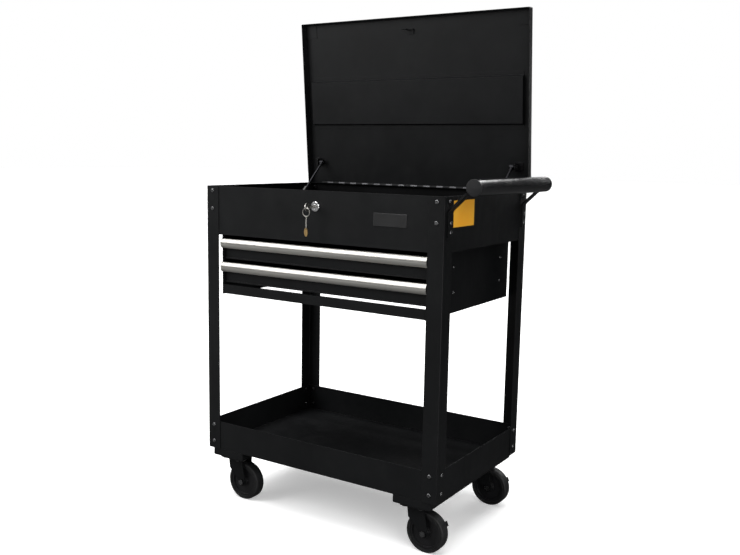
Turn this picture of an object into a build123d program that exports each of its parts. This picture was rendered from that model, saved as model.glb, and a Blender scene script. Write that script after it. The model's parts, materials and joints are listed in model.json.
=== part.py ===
from build123d import *
import math
import os

# Rolling tool chest on four swivel casters: a lidded top box and two drawers carried by four
# angle-section legs over an open tray.  Millimetres, +X to the handle end, +Y to the back, +Z up.
# The model is laid out with x = 0 at the middle of the body, y = 0 at the front face of the legs
# and z = 0 on the floor; save() moves it to the middle of its overall outline.

# ---- driving dimensions -------------------------------------------------------------------------
BODY_W = 700.0            # across the legs
BODY_D = 450.0            # front to back of the legs
CASTER_H = 121.0          # floor to underside of the caster channels
CHANNEL_H = 20.0
LEG_H = 703.5
TOP_BOX_H = 125.0
CABINET_W = 610.0
CABINET_H = 156.5
TRAY_H = 75.0

LEG_T = 1.6               # sheet thicknesses
SHEET_T = 1.2
DRAWER_T = 1.0
LEG_FLANGE = 40.0
BEND_R = 3.0              # outside bend radius of the legs

LID_SIDE_GAP = 5.0        # lid overhang past the legs
LID_FRONT_GAP = 6.4
LID_FLANGE = 20.0
LID_RISE = 13.0           # hinge axis to the top of the lid panel
LID_OPEN_DEG = 85.0       # opening angle shown at rest

HANDLE_REACH = 57.0       # leg face to handle axis
HANDLE_RISE = 20.5        # top of the legs to handle axis
HANDLE_R = 19.0
HANDLE_WALL = 1.5
HANDLE_INSET = 23.5       # front and rear leg faces to the ends of the tube

WHEEL_R = 50.0
WHEEL_W = 28.0
TRAIL = 21.0              # swivel axis to wheel centre
SWIVEL_X = 281.0
SWIVEL_INSET_Y = 50.0

DRAWER_PITCH = 61.5
PULL_W = 612.0
PULL_H = 24.0

# ---- levels and faces worked out from them ------------------------------------------------------
LEG_BOTTOM_Z = CASTER_H + CHANNEL_H
TOP_Z = LEG_BOTTOM_Z + LEG_H
BOX_BOTTOM_Z = TOP_Z - TOP_BOX_H
CABINET_BOTTOM_Z = BOX_BOTTOM_Z - CABINET_H
TRAY_TOP_Z = LEG_BOTTOM_Z + TRAY_H
HALF_W = BODY_W / 2
PANEL_X = HALF_W - LEG_T                  # outer face of the side panels
PANEL_FRONT_Y = LEG_T                     # outer face of the front panel
PANEL_REAR_Y = BODY_D - LEG_T
INNER_X = PANEL_X - SHEET_T
INNER_FRONT_Y = PANEL_FRONT_Y + SHEET_T
INNER_REAR_Y = PANEL_REAR_Y - SHEET_T
PANEL_RETURN_X = INNER_X - 1.0
RETURN_W = 10.0                           # folded rim of the top box
FLOOR_RETURN_W = 12.0
FLOOR_Z = BOX_BOTTOM_Z + SHEET_T

# ---- hinge --------------------------------------------------------------------------------------
KNUCKLE_R = 3.5
PIN_R = 1.5
FIT = 0.05                                # radial running clearance
HINGE_Y = PANEL_REAR_Y + KNUCKLE_R
HINGE_Z = TOP_Z + 1.0
KNUCKLE_L = 20.5
KNUCKLES = 30
KNUCKLE_GAP = 0.4
LEAF_T = 1.2
LEAF_H = 21.0

# ---- lid, laid out closed and turned about the hinge --------------------------------------------
LID_W = BODY_W + 2 * LID_SIDE_GAP
LID_TOP_Z = HINGE_Z + LID_RISE
LID_UNDER_Z = LID_TOP_Z - SHEET_T
LID_FRONT_Y = -LID_FRONT_GAP
LID_REAR_Y = HINGE_Y + KNUCKLE_R + SHEET_T
LID_REAR_FLANGE = LID_RISE - 2.5
STIFFENER_NEAR = 168.0                    # hinge to the near and far edges of the stiffener
STIFFENER_FAR = 295.0
STIFFENER_H = 10.0
STIFFENER_X = 334.0

# ---- drawers ------------------------------------------------------------------------------------
PULL_TOP_Z = BOX_BOTTOM_Z - 11.0          # upper drawer
PULL_FRONT_Y = 2.0
FACE_Y = 18.0
FACE_W = 606.0
FACE_DROP = 28.0                          # drawer face below the pull
SLIDE_T = 12.7
SLIDE_H = 35.0
SLIDE_DROP = 11.0                         # slide centre below the bottom of the pull
SLIDE_FRONT_Y = 28.0
SLIDE_L = 390.0
DRAWER_REAR_Y = 425.0
RAIL_Y = 9.0
RAIL_H = 23.0
CABINET_REAR_Y = 447.0
CABINET_X = CABINET_W / 2
CABINET_INNER_X = CABINET_X - SHEET_T
DRAWER_X = CABINET_INNER_X - SLIDE_T - 0.3

# ---- lock ---------------------------------------------------------------------------------------
LOCK_Z = TOP_Z - 38.0
BARREL_R = 9.5
PLUG_R = 6.0
BARREL_REAR_Y = 24.0
CAM_Y = 25.5
CAM_T = 2.0
KEY_BOW_Y = -31.0
KEY_BOW_R = 10.0
KEY_HOLE_Y = -35.5
KEY_HOLE_R = 4.0
RING_R = 10.0
WIRE_R = 0.8                              # wire of the ring and of its link
RING_TOP_Z = LOCK_Z - KEY_HOLE_R + WIRE_R + 1.2
LINK_L = 31.0                             # between the centres of the link's two ends

# ---- gas struts ---------------------------------------------------------------------------------
STRUT_X = 306.0
STRUT_ARM = 60.0                          # hinge axis to the pivot on the lid
STRUT_FOOT_BACK = 168.0                   # pivot in the box, in front of and below the hinge axis
STRUT_FOOT_DROP = 95.0
STRUT_R = 7.5
ROD_R = 3.2
STRUT_PIN_R = 3.0
EYE_R = 7.0
EYE_W = 10.0
PLATE_X = STRUT_X + 10.0                  # inner face of the pivot plates

# ---- fasteners ----------------------------------------------------------------------------------
BOLT_R = 2.5
BOLT_HOLE_R = 2.75
BOLT_HEAD_R = 5.0
BOLT_HEAD_H = 2.4
BOLT_INSET = 20.0         # leg's corner to the bolts through its front or rear flange
SIDE_BOLT_INSET = 23.0    # the same through its side flange
TOP_BOLT_Z = (TOP_Z - 12.0, TOP_Z - 58.5)
TRAY_BOLT_Z = (TRAY_TOP_Z - 10.0, LEG_BOTTOM_Z + 20.0)
BRACKET_BOLT_Z = TOP_Z - 80.0
BRACKET_T = 4.0
BRACKET_W = 22.0
SLIDE_SCREW_Y = (138.0, 397.0)

# ---- outline used for the origin ----------------------------------------------------------------
OPEN = math.radians(LID_OPEN_DEG)
LID_OPEN_REAR_Y = HINGE_Y + (LID_REAR_Y - HINGE_Y) * math.cos(OPEN) + LID_RISE * math.sin(OPEN)
ORIGIN_X = (HALF_W + HANDLE_REACH + HANDLE_R - LID_W / 2) / 2
ORIGIN_Y = (KEY_BOW_Y - KEY_BOW_R + LID_OPEN_REAR_Y) / 2


# ---- helpers ------------------------------------------------------------------------------------
def block(x0, x1, y0, y1, z0, z1):
    """Axis-aligned box between two corners."""
    centre = ((x0 + x1) / 2, (y0 + y1) / 2, (z0 + z1) / 2)
    return Pos(*centre) * Box(abs(x1 - x0), abs(y1 - y0), abs(z1 - z0))


def rod(start, end, radius):
    """Solid cylinder between two points."""
    start, end = Vector(*start), Vector(*end)
    plane = Plane(origin=start, z_dir=end - start)
    return extrude(plane * Circle(radius), (end - start).length)


def tube(start, end, outer, inner):
    """Round tube between two points."""
    return rod(start, end, outer) - rod(start, end, inner)


def prism_yz(points, x0, x1):
    """Outline in the YZ plane carried from x0 to x1."""
    outline = make_face(Polyline(*[(x0, y, z) for y, z in points], close=True))
    return extrude(outline, x1 - x0, dir=(1, 0, 0))


def prism_xz(points, y0, y1):
    """Outline in the XZ plane carried from y0 to y1."""
    outline = make_face(Polyline(*[(x, y0, z) for x, z in points], close=True))
    return extrude(outline, y1 - y0, dir=(0, 1, 0))


def across(part):
    """The same part on the other side of the middle plane x = 0."""
    return mirror(part, about=Plane.YZ)


def front_to_back(part):
    """The same part on the other side of the plane half way from front to back."""
    return mirror(part, about=Plane(origin=(0, BODY_D / 2, 0), z_dir=(0, 1, 0)))


def group(parts):
    """Separate solids kept together in one node."""
    return Compound([solid for part in parts for solid in part.solids()])


def lid_open(part):
    """Turns a part laid out with the lid closed to the open lid."""
    return part.rotate(Axis((0, HINGE_Y, HINGE_Z), (1, 0, 0)), -LID_OPEN_DEG)


def save(name, part):
    """Moves the part to the origin of the outline and writes its STEP file."""
    placed = [Pos(-ORIGIN_X, -ORIGIN_Y, 0) * solid for solid in part.solids()]
    export_step(placed[0] if len(placed) == 1 else Compound(placed), f"parts/{name}.step")


# ---- bolt positions -----------------------------------------------------------------------------
def side_bolt_heights(right):
    """Heights of the bolts through a leg's side flange; the handle bracket adds one."""
    extra = (BRACKET_BOLT_Z,) if right else ()
    return TOP_BOLT_Z + extra + TRAY_BOLT_Z


def bolt_seats():
    """(point on the outer face, outward direction, sheet depth behind it) of every frame bolt."""
    seats = []
    for side in (-1, 1):
        for y, face_y, out in ((SIDE_BOLT_INSET, 0.0, -1), (BODY_D - SIDE_BOLT_INSET, BODY_D, 1)):
            for z in TOP_BOLT_Z + TRAY_BOLT_Z:
                seats.append(((side * (HALF_W - BOLT_INSET), face_y, z), (0, out, 0), 0.0))
            for z in side_bolt_heights(side > 0):
                plate = BRACKET_T if side > 0 and z in (TOP_BOLT_Z[1], BRACKET_BOLT_Z) else 0.0
                seats.append(((side * (HALF_W + plate), y, z), (side, 0, 0), plate))
    return seats


def bolt_holes():
    """Clearance holes for the frame bolts, as one cutting tool."""
    tools = []
    for point, out, plate in bolt_seats():
        base = Vector(*point) + Vector(*out)
        tip = Vector(*point) - Vector(*out) * (plate + LEG_T + SHEET_T + 1)
        tools.append(rod(tuple(base), tuple(tip), BOLT_HOLE_R))
    return group(tools)


def button_bolt(length, shank_r, head_r, head_h, socket_af):
    """Button-head bolt along -Z, its head's underside at z = 0."""
    head = Cylinder(head_r, head_h, align=(Align.CENTER, Align.CENTER, Align.MIN))
    head = fillet(head.edges().group_by(Axis.Z)[-1], head_h * 0.8)
    shank = Cylinder(shank_r, length, align=(Align.CENTER, Align.CENTER, Align.MAX))
    socket = RegularPolygon(socket_af / 2, 6, major_radius=False)
    return head + shank - Pos(0, 0, head_h / 2) * extrude(socket, head_h)


def hex_nut(across_flats, height, bore_r):
    """Hexagon nut standing on z = 0 and reaching down."""
    body = extrude(RegularPolygon(across_flats / 2, 6, major_radius=False), -height)
    return body - Cylinder(bore_r, 3 * height)


def facing(point, out):
    """Placement with +Z along the outward direction."""
    return Plane(origin=point, z_dir=out).location


# ---- frame --------------------------------------------------------------------------------------
def leg_section():
    """L-section of the front left leg, bent with a small radius."""
    x, t, w, r = -HALF_W, LEG_T, LEG_FLANGE, BEND_R
    mid = r * (1 - math.sqrt(0.5))
    inner = r - t
    inner_mid = t + inner * (1 - math.sqrt(0.5))
    lines = [
        Line((x + w, 0), (x + r, 0)),
        ThreePointArc((x + r, 0), (x + mid, mid), (x, r)),
        Line((x, r), (x, w)),
        Line((x, w), (x + t, w)),
        Line((x + t, w), (x + t, r)),
        ThreePointArc((x + t, r), (x + inner_mid, inner_mid), (x + r, t)),
        Line((x + r, t), (x + w, t)),
        Line((x + w, t), (x + w, 0)),
    ]
    return make_face(Wire(lines))


def legs(holes):
    """The front pair and the rear pair of legs."""
    front_left = Pos(0, 0, LEG_BOTTOM_Z) * extrude(leg_section(), LEG_H)
    rear_left = front_to_back(front_left)
    return {
        "legs_front": group([front_left - holes, across(front_left) - holes]),
        "legs_rear": group([rear_left - holes, across(rear_left) - holes]),
    }


def channel_profile(face, inward, low, high, rim, foot):
    """C-section outline: a web at face, a rim folded in at the top and a foot at the bottom."""
    t = SHEET_T
    return [
        (face, low),
        (face + inward * (t + foot), low),
        (face + inward * (t + foot), low + t),
        (face + inward * t, low + t),
        (face + inward * t, high - t),
        (face + inward * (t + rim), high - t),
        (face + inward * (t + rim), high),
        (face, high),
    ]


def top_box(holes):
    """Front, rear and side panels of the top box and its floor."""
    low, high = BOX_BOTTOM_Z, TOP_Z
    front_section = channel_profile(PANEL_FRONT_Y, 1, low, high, RETURN_W, FLOOR_RETURN_W)
    front = prism_yz(front_section, -PANEL_RETURN_X, PANEL_RETURN_X)
    reach = HALF_W - BEND_R
    edge = block(-reach, reach, PANEL_FRONT_Y, INNER_FRONT_Y, low, high)
    front = front + edge
    rear = front_to_back(front)
    lock_hole = rod((0, -1, LOCK_Z), (0, 5, LOCK_Z), BARREL_R + 0.2)
    y0 = INNER_FRONT_Y + FLOOR_RETURN_W
    y1 = INNER_REAR_Y - FLOOR_RETURN_W
    side = prism_xz(channel_profile(PANEL_X, -1, low, high, RETURN_W, FLOOR_RETURN_W), y0, y1)
    side = side + block(INNER_X, PANEL_X, BEND_R, BODY_D - BEND_R, low, high)
    floor = block(-INNER_X, INNER_X, INNER_FRONT_Y, INNER_REAR_Y, FLOOR_Z, FLOOR_Z + SHEET_T)
    return {
        "top_box_front": front - lock_hole - holes,
        "top_box_rear": rear - holes,
        "top_box_sides": group([side - holes, across(side) - holes]),
        "top_box_floor": floor,
    }


def cabinet_side():
    """Right side of the drawer cabinet, flanged inwards along its top and bottom."""
    low, high = CABINET_BOTTOM_Z, BOX_BOTTOM_Z
    flange_w, flange_front_y = 15.0, 25.0
    rear_y = INNER_REAR_Y - FLOOR_RETURN_W - 2
    side = block(CABINET_INNER_X, CABINET_X, RAIL_Y, CABINET_REAR_Y, low, high)
    side += block(CABINET_X - flange_w, CABINET_X, flange_front_y, rear_y, high, high + SHEET_T)
    foot_x = CABINET_X - flange_w
    side += block(foot_x, CABINET_INNER_X, flange_front_y, CABINET_REAR_Y, low, low + SHEET_T)
    for z in slide_levels():
        for y in SLIDE_SCREW_Y:
            side -= rod((CABINET_X + 1, y, z), (CABINET_INNER_X - 1, y, z), BOLT_HOLE_R)
    return side


def slide_levels():
    """Heights of the slide centres, lower then upper."""
    upper = PULL_TOP_Z - PULL_H - SLIDE_DROP
    return (upper - DRAWER_PITCH, upper)


def cabinet():
    """The drawer cabinet hung below the top box."""
    low = CABINET_BOTTOM_Z
    right = cabinet_side()
    reach, rear_y = CABINET_INNER_X, CABINET_REAR_Y - SHEET_T
    rear = block(-reach, reach, rear_y, CABINET_REAR_Y, low + SHEET_T, BOX_BOTTOM_Z)
    rail = channel_profile(RAIL_Y, 1, low + 2, low + 2 + RAIL_H, RETURN_W, RETURN_W)
    return {
        "cabinet_sides": group([across(right), right]),
        "cabinet_rear": rear,
        "cabinet_rail": prism_yz(rail, -reach, reach),
    }


def lower_tray(holes):
    """Open pan between the legs, its rim hemmed to double thickness."""
    hem_h = 5.0
    pan = block(-PANEL_X, PANEL_X, PANEL_FRONT_Y, PANEL_REAR_Y, LEG_BOTTOM_Z, TRAY_TOP_Z)
    pan = fillet(pan.edges().filter_by(Axis.Z), 1.4)
    pan = fillet(pan.faces().sort_by(Axis.Z)[0].edges(), 1.3)
    t, hem_z = SHEET_T, TRAY_TOP_Z - hem_h
    hollow = block(-INNER_X, INNER_X, INNER_FRONT_Y, INNER_REAR_Y, LEG_BOTTOM_Z + t, hem_z)
    rim_x, rim_y0, rim_y1 = INNER_X - t, INNER_FRONT_Y + t, INNER_REAR_Y - t
    rim = block(-rim_x, rim_x, rim_y0, rim_y1, hem_z - 1, TRAY_TOP_Z + 1)
    return pan - hollow - rim - holes


def caster_channels():
    """Two channels under the tray that carry the casters, open upwards with folded ends."""
    half, t = 50.0, 2.0
    y0, y1 = 2.0, BODY_D - 2.0
    channels = []
    for side in (-1, 1):
        x = side * SWIVEL_X + side * 2
        outer = block(x - half, x + half, y0, y1, CASTER_H, LEG_BOTTOM_Z)
        outer = fillet(outer.faces().sort_by(Axis.Z)[0].edges(), 2.5)
        inner = block(x - half + t, x + half - t, y0 + t, y1 - t, CASTER_H + t, LEG_BOTTOM_Z + 1)
        channel = outer - inner
        for cx, cy in caster_positions():
            for point in plate_bolt_points(cx, cy):
                channel -= rod((*point, CASTER_H - 1), (*point, CASTER_H + t + 1), 4.25)
        channels.append(channel)
    return group(channels)


def frame_bolts():
    """Every bolt, nut and slide screw of the frame, as separate solids."""
    solids = []
    nut_h = 4.0
    for point, out, plate in bolt_seats():
        depth = plate + LEG_T + SHEET_T
        bolt = button_bolt(depth + nut_h + 1.2, BOLT_R, BOLT_HEAD_R, BOLT_HEAD_H, 3.0)
        nut = Pos(0, 0, -depth) * hex_nut(8.0, nut_h, BOLT_R + FIT)
        solids += [facing(point, out) * bolt, facing(point, out) * nut]
    screw = button_bolt(SHEET_T + 2.6, BOLT_R, 4.5, 2.0, 2.5)
    for side in (-1, 1):
        for z in slide_levels():
            for y in SLIDE_SCREW_Y:
                solids.append(facing((side * CABINET_X, y, z), (side, 0, 0)) * screw)
    return solids


# ---- handle, badge and label --------------------------------------------------------------------
def handle():
    """Push handle at the right end: wide tube, two end plugs and two bent brackets."""
    x, z = HALF_W + HANDLE_REACH, TOP_Z + HANDLE_RISE
    ends = ((HANDLE_INSET, -1), (BODY_D - HANDLE_INSET, 1))
    bar = tube((x, ends[0][0], z), (x, ends[1][0], z), HANDLE_R, HANDLE_R - HANDLE_WALL)
    plugs = [handle_plug(x, y, z, sign) for y, sign in ends]
    return {"handle_tube": bar, "handle_plugs": group(plugs), "handle_brackets": handle_brackets(x, z)}


def handle_plug(x, y, z, sign):
    """Moulded plug in one end of the tube: flat flange outside, hollow skirt inside."""
    bore_r = HANDLE_R - HANDLE_WALL
    flange = rod((x, y, z), (x, y + sign * 1.8, z), HANDLE_R)
    rim = flange.edges().filter_by(GeomType.CIRCLE).sort_by(Axis.Y)[-1 if sign > 0 else 0]
    flange = fillet(rim, 0.8)
    return flange + tube((x, y, z), (x, y - sign * 14, z), bore_r, bore_r - 2)


def handle_brackets(tube_x, tube_z):
    """Flat bars bent from the leg face out to the tube, where they are welded."""
    t = BRACKET_T
    low, bend = BRACKET_BOLT_Z - 11.0, TOP_Z - 32.0
    reach = tube_x - HALF_W - t
    slope = math.atan2(tube_z - bend, reach)
    end_x = tube_x - (HANDLE_R - 1) * math.cos(slope)
    end_z = tube_z - (HANDLE_R - 1) * math.sin(slope)
    path = FilletPolyline(
        (HALF_W + t / 2, 0, low), (HALF_W + t / 2, 0, bend), (end_x, 0, end_z), radius=8
    )
    section = Plane(origin=(HALF_W + t / 2, 0, low), z_dir=(0, 0, 1)) * Rectangle(t, BRACKET_W)
    bar = sweep(section, path=path)
    bar -= rod((tube_x, -50, tube_z), (tube_x, 50, tube_z), HANDLE_R)
    bars = []
    for y in (SIDE_BOLT_INSET, BODY_D - SIDE_BOLT_INSET):
        placed = Pos(0, y, 0) * bar
        for z in (TOP_BOLT_Z[1], BRACKET_BOLT_Z):
            placed -= rod((HALF_W - 2, y, z), (HALF_W + t + 2, y, z), BOLT_HOLE_R)
        bars.append(placed)
    return group(bars)


def badge_plate():
    """Blank name plate on the front panel."""
    w, h, t = 89.0, 30.0, 1.2
    x, z = 209.5, TOP_Z - 59.0
    plate = block(x - w / 2, x + w / 2, PANEL_FRONT_Y - t, PANEL_FRONT_Y, z - h / 2, z + h / 2)
    plate = fillet(plate.edges().filter_by(Axis.Y), 2.0)
    return chamfer(plate.faces().sort_by(Axis.Y)[0].edges(), 0.4)


def side_label():
    """Blank label on the right side panel."""
    y0, y1, z0, z1, t = 45.0, 147.0, TOP_Z - 70.0, TOP_Z - 10.0, 0.3
    return block(PANEL_X, PANEL_X + t, y0, y1, z0, z1)


# ---- lid ----------------------------------------------------------------------------------------
def hinge_leaf(on_lid):
    """One leaf of the piano hinge with its share of the knuckles."""
    half = KNUCKLES * KNUCKLE_L / 2
    axis_y, axis_z = HINGE_Y, HINGE_Z
    root = KNUCKLE_R + 0.3
    if on_lid:
        y0, y1 = axis_y + KNUCKLE_R - LEAF_T, axis_y + KNUCKLE_R
        leaf = block(-half, half, y0, y1, axis_z + root, LID_UNDER_Z - 0.2)
    else:
        y0, y1 = axis_y - KNUCKLE_R, axis_y - KNUCKLE_R + LEAF_T
        leaf = block(-half, half, y0, y1, axis_z - LEAF_H, axis_z - root)
    for index in range(KNUCKLES):
        if (index % 2 == 0) != on_lid:
            continue
        x0 = -half + index * KNUCKLE_L + KNUCKLE_GAP / 2
        x1 = x0 + KNUCKLE_L - KNUCKLE_GAP
        reach = root + 0.5 if on_lid else -root - 0.5
        leaf += block(x0, x1, y0, y1, axis_z, axis_z + reach)
        leaf += rod((x0, axis_y, axis_z), (x1, axis_y, axis_z), KNUCKLE_R)
    return leaf - rod((-half - 1, axis_y, axis_z), (half + 1, axis_y, axis_z), PIN_R + FIT)


def lid_pan():
    """Lid panel with flanges down all round and doubled front corners."""
    t = SHEET_T
    x, inner_x = LID_W / 2, LID_W / 2 - t
    front_y, rear_y = LID_FRONT_Y + t, LID_REAR_Y - t
    low = LID_TOP_Z - LID_FLANGE
    pan = block(-x, x, LID_FRONT_Y, LID_REAR_Y, low, LID_TOP_Z)
    pan = fillet(pan.edges().filter_by(Axis.Z), 2.5)
    pan = fillet(pan.faces().sort_by(Axis.Z)[-1].edges(), 2.0)
    pan -= block(-inner_x, inner_x, front_y, rear_y, low - 1, LID_UNDER_Z)
    rear_low = LID_TOP_Z - LID_REAR_FLANGE
    pan -= block(-inner_x, inner_x, rear_y - 1, LID_REAR_Y + 1, low - 1, rear_low)
    patch = 40.0
    for side in (-1, 1):
        x0, x1 = sorted((side * inner_x, side * (inner_x - patch)))
        pan += block(x0, x1, front_y, front_y + patch, LID_UNDER_Z - t, LID_UNDER_Z)
    return pan


def lid_stiffener():
    """Wide hat section welded across the underside of the lid."""
    t, weld_w, depth = 1.0, 10.0, STIFFENER_H
    near, far = HINGE_Y - STIFFENER_NEAR, HINGE_Y - STIFFENER_FAR
    top = LID_UNDER_Z
    slope = 4.0
    outline = [
        (near + weld_w, top),
        (near + weld_w, top - t),
        (near, top - t),
        (near - slope, top - depth),
        (far + slope, top - depth),
        (far, top - t),
        (far - weld_w, top - t),
        (far - weld_w, top),
        (far + 0.6, top),
        (far + slope + 0.6, top - depth + t),
        (near - slope - 0.6, top - depth + t),
        (near - 0.6, top),
    ]
    return prism_yz(outline, -STIFFENER_X, STIFFENER_X)


def lid_strike():
    """Hooked tongue that the lock's cam catches."""
    foot_z, foot_t, stem_w = LOCK_Z + 17.0, 3.0, 7.0
    left, stem, tip = -5.0 - stem_w, -5.0, 6.0
    y0, y1 = CAM_Y, CAM_Y + CAM_T
    outline = [
        (left, LID_UNDER_Z),
        (left, foot_z),
        (tip, foot_z),
        (tip, foot_z + foot_t),
        (stem, foot_z + foot_t),
        (stem, LID_UNDER_Z),
    ]
    tongue = prism_xz(outline, y0, y1)
    head = block(left, -left, y0, y1, LID_UNDER_Z - 6, LID_UNDER_Z)
    weld_tab = block(left, -left, y1, y1 + 12, LID_UNDER_Z - CAM_T, LID_UNDER_Z)
    return tongue + head + weld_tab


def pivot_plate(y, z, base_z):
    """Angle plate for a strut pivot, standing between base_z and the pivot height."""
    up = 1 if z > base_z else -1
    x0, x1, t = PLATE_X, PLATE_X + 2, 2.0
    low, high = sorted((base_z, z))
    plate = block(x0, x1, y - 11, y + 11, low, high) + rod((x0, y, z), (x1, y, z), 11)
    low, high = sorted((base_z, base_z + up * t))
    return plate + block(x0, x1 + 16, y - 11, y + 11, low, high)


def strut_lid_point():
    """(y, z) of the strut's pivot on the open lid."""
    y, z = -STRUT_ARM, 0.0
    return (
        HINGE_Y + y * math.cos(OPEN) + z * math.sin(OPEN),
        HINGE_Z - y * math.sin(OPEN) + z * math.cos(OPEN),
    )


def strut_foot_point():
    """(y, z) of the strut's pivot in the top box."""
    return HINGE_Y - STRUT_FOOT_BACK, HINGE_Z - STRUT_FOOT_DROP


def strut_lengths():
    """Distance between the strut's pivots with the lid open and closed."""
    foot, top = strut_foot_point(), strut_lid_point()
    closed = (HINGE_Y - STRUT_ARM, HINGE_Z)
    return math.dist(foot, top), math.dist(foot, closed)


def strut_mounts():
    """Pivot plates with their pins on the floor of the top box."""
    y, z = strut_foot_point()
    base = FLOOR_Z + SHEET_T
    plate = pivot_plate(y, z, base)
    pin = rod((PLATE_X, y, z), (STRUT_X - EYE_W / 2 - 0.5, y, z), STRUT_PIN_R)
    head = rod((STRUT_X - EYE_W / 2 - 0.4, y, z), (STRUT_X - EYE_W / 2 - 2, y, z), STRUT_PIN_R + 1.5)
    mount = plate + pin + head
    return group([across(mount), mount])


def lid_brackets():
    """Pivot plates on the underside of the lid with their stud heads, laid out closed."""
    y = HINGE_Y - STRUT_ARM
    plate = pivot_plate(y, HINGE_Z, LID_UNDER_Z)
    plate = plate & block(PLATE_X, PLATE_X + 20, 0, BODY_D, HINGE_Z - 8, LID_UNDER_Z)
    head_x = PLATE_X + 2
    head = rod((head_x, y, HINGE_Z), (head_x + 3, y, HINGE_Z), STRUT_PIN_R + 1.5)
    bracket = plate + chamfer(head.faces().sort_by(Axis.X)[-1].edges(), 0.8)
    return group([across(bracket), bracket])


def along_strut(distance):
    """Point on the strut's centre line, measured from the pivot in the box."""
    foot, top = strut_foot_point(), strut_lid_point()
    share = distance / math.dist(foot, top)
    return (STRUT_X, foot[0] + (top[0] - foot[0]) * share, foot[1] + (top[1] - foot[1]) * share)


CYLINDER_L = 118.0
GLAND_L = 8.0
PISTON_L = 6.0


def eye(distance, bore_r):
    """End eye of the strut at a distance along it."""
    x, y, z = along_strut(distance)
    ring = rod((x - EYE_W / 2, y, z), (x + EYE_W / 2, y, z), EYE_R)
    return ring - rod((x - EYE_W, y, z), (x + EYE_W, y, z), bore_r)


def strut_cylinder():
    """Right gas cylinder: hollow barrel, gland and foot eye."""
    barrel = rod(along_strut(10), along_strut(CYLINDER_L), STRUT_R)
    rims = barrel.edges().filter_by(GeomType.CIRCLE)
    barrel = fillet(rims, 1.5)
    barrel -= rod(along_strut(16), along_strut(CYLINDER_L - GLAND_L), STRUT_R - 1)
    barrel -= rod(along_strut(20), along_strut(CYLINDER_L + 5), ROD_R + FIT)
    neck = rod(along_strut(5), along_strut(12), 4.5)
    x, y, z = along_strut(0)
    bore = rod((x - EYE_W, y, z), (x + EYE_W, y, z), STRUT_PIN_R + FIT)
    return barrel + neck + eye(0, STRUT_PIN_R + FIT) - bore


def strut_rod():
    """Right piston rod with its end eye and pivot pin."""
    open_length = strut_lengths()[0]
    piston_at = CYLINDER_L - GLAND_L - 6
    bar = rod(along_strut(piston_at - PISTON_L), along_strut(open_length - 4), ROD_R)
    bar += rod(along_strut(piston_at - PISTON_L), along_strut(piston_at), STRUT_R - 1.3)
    x, y, z = along_strut(open_length)
    bar += rod(along_strut(open_length - 14), along_strut(open_length - 3), 4.5)
    bar += rod((x - EYE_W / 2, y, z), (x + EYE_W / 2, y, z), EYE_R)
    bar += rod((x - EYE_W / 2 - 1.5, y, z), (PLATE_X - 0.3, y, z), STRUT_PIN_R + 1)
    return bar


# ---- drawers ------------------------------------------------------------------------------------
def drawer(level):
    """Sheet drawer with its wide face, level 0 lower or 1 upper."""
    pull_z = PULL_TOP_Z - PULL_H - (1 - level) * DRAWER_PITCH
    low = pull_z - FACE_DROP
    t = DRAWER_T
    z0, z1 = low + 3, low + 47
    body = block(-DRAWER_X, DRAWER_X, FACE_Y + t, DRAWER_REAR_Y, z0, z1)
    body -= block(-DRAWER_X + t, DRAWER_X - t, FACE_Y + 2 * t + 1.5, DRAWER_REAR_Y - t, z0 + t, z1 + 1)
    hem = 3.0
    for side in (-1, 1):
        x0, x1 = sorted((side * (DRAWER_X - t - hem), side * (DRAWER_X - t)))
        body += block(x0, x1, FACE_Y + t, DRAWER_REAR_Y, z1 - t, z1)
    face = block(-FACE_W / 2, FACE_W / 2, FACE_Y, FACE_Y + t, low, pull_z + PULL_H - 1)
    lip = block(-FACE_W / 2, FACE_W / 2, FACE_Y - 3, FACE_Y, low, low + 3.2)
    return body + face + lip


def pull(level):
    """Aluminium pull along the top of the drawer face, with a bowed front and an open underside."""
    z0 = PULL_TOP_Z - PULL_H - (1 - level) * DRAWER_PITCH
    z1 = z0 + PULL_H
    t, edge_y, bow_y, back_y = 1.8, 7.0, PULL_FRONT_Y, FACE_Y
    lip = 7.0
    mid = (z0 + z1) / 2
    inner_y = edge_y + t * 0.8
    lines = [
        ThreePointArc((0, edge_y, z1), (0, bow_y, mid), (0, edge_y, z0)),
        Line((0, edge_y, z0), (0, inner_y, z0 + t * 0.5)),
        ThreePointArc((0, inner_y, z0 + t * 0.5), (0, bow_y + t, mid), (0, inner_y, z1 - t)),
        Line((0, inner_y, z1 - t), (0, back_y - t, z1 - t)),
        Line((0, back_y - t, z1 - t), (0, back_y - t, z1 - lip)),
        Line((0, back_y - t, z1 - lip), (0, back_y, z1 - lip)),
        Line((0, back_y, z1 - lip), (0, back_y, z1)),
        Line((0, back_y, z1), (0, edge_y, z1)),
    ]
    section = make_face(Wire(lines))
    half = PULL_W / 2
    bar = Pos(-half, 0, 0) * extrude(section, PULL_W, dir=(1, 0, 0))
    for x0, x1 in ((-half - 1, -FACE_W / 2), (FACE_W / 2, half + 1)):
        bar -= block(x0, x1, RAIL_Y - 0.4, back_y + 1, z0 - 1, z1 + 1)
    return bar


def slide_member(z, height, web, lip, thickness, length, start_y):
    """One C-section slide member on the right: web and lips as distances in from the cabinet wall."""
    x_web = sorted((CABINET_INNER_X - web, CABINET_INNER_X - web - thickness))
    x_lip = sorted((CABINET_INNER_X - web, CABINET_INNER_X - lip))
    y0, y1 = start_y, start_y + length
    half = height / 2
    part = block(*x_web, y0, y1, z - half, z + half)
    part += block(*x_lip, y0, y1, z + half - thickness, z + half)
    return part + block(*x_lip, y0, y1, z - half, z - half + thickness)


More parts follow.
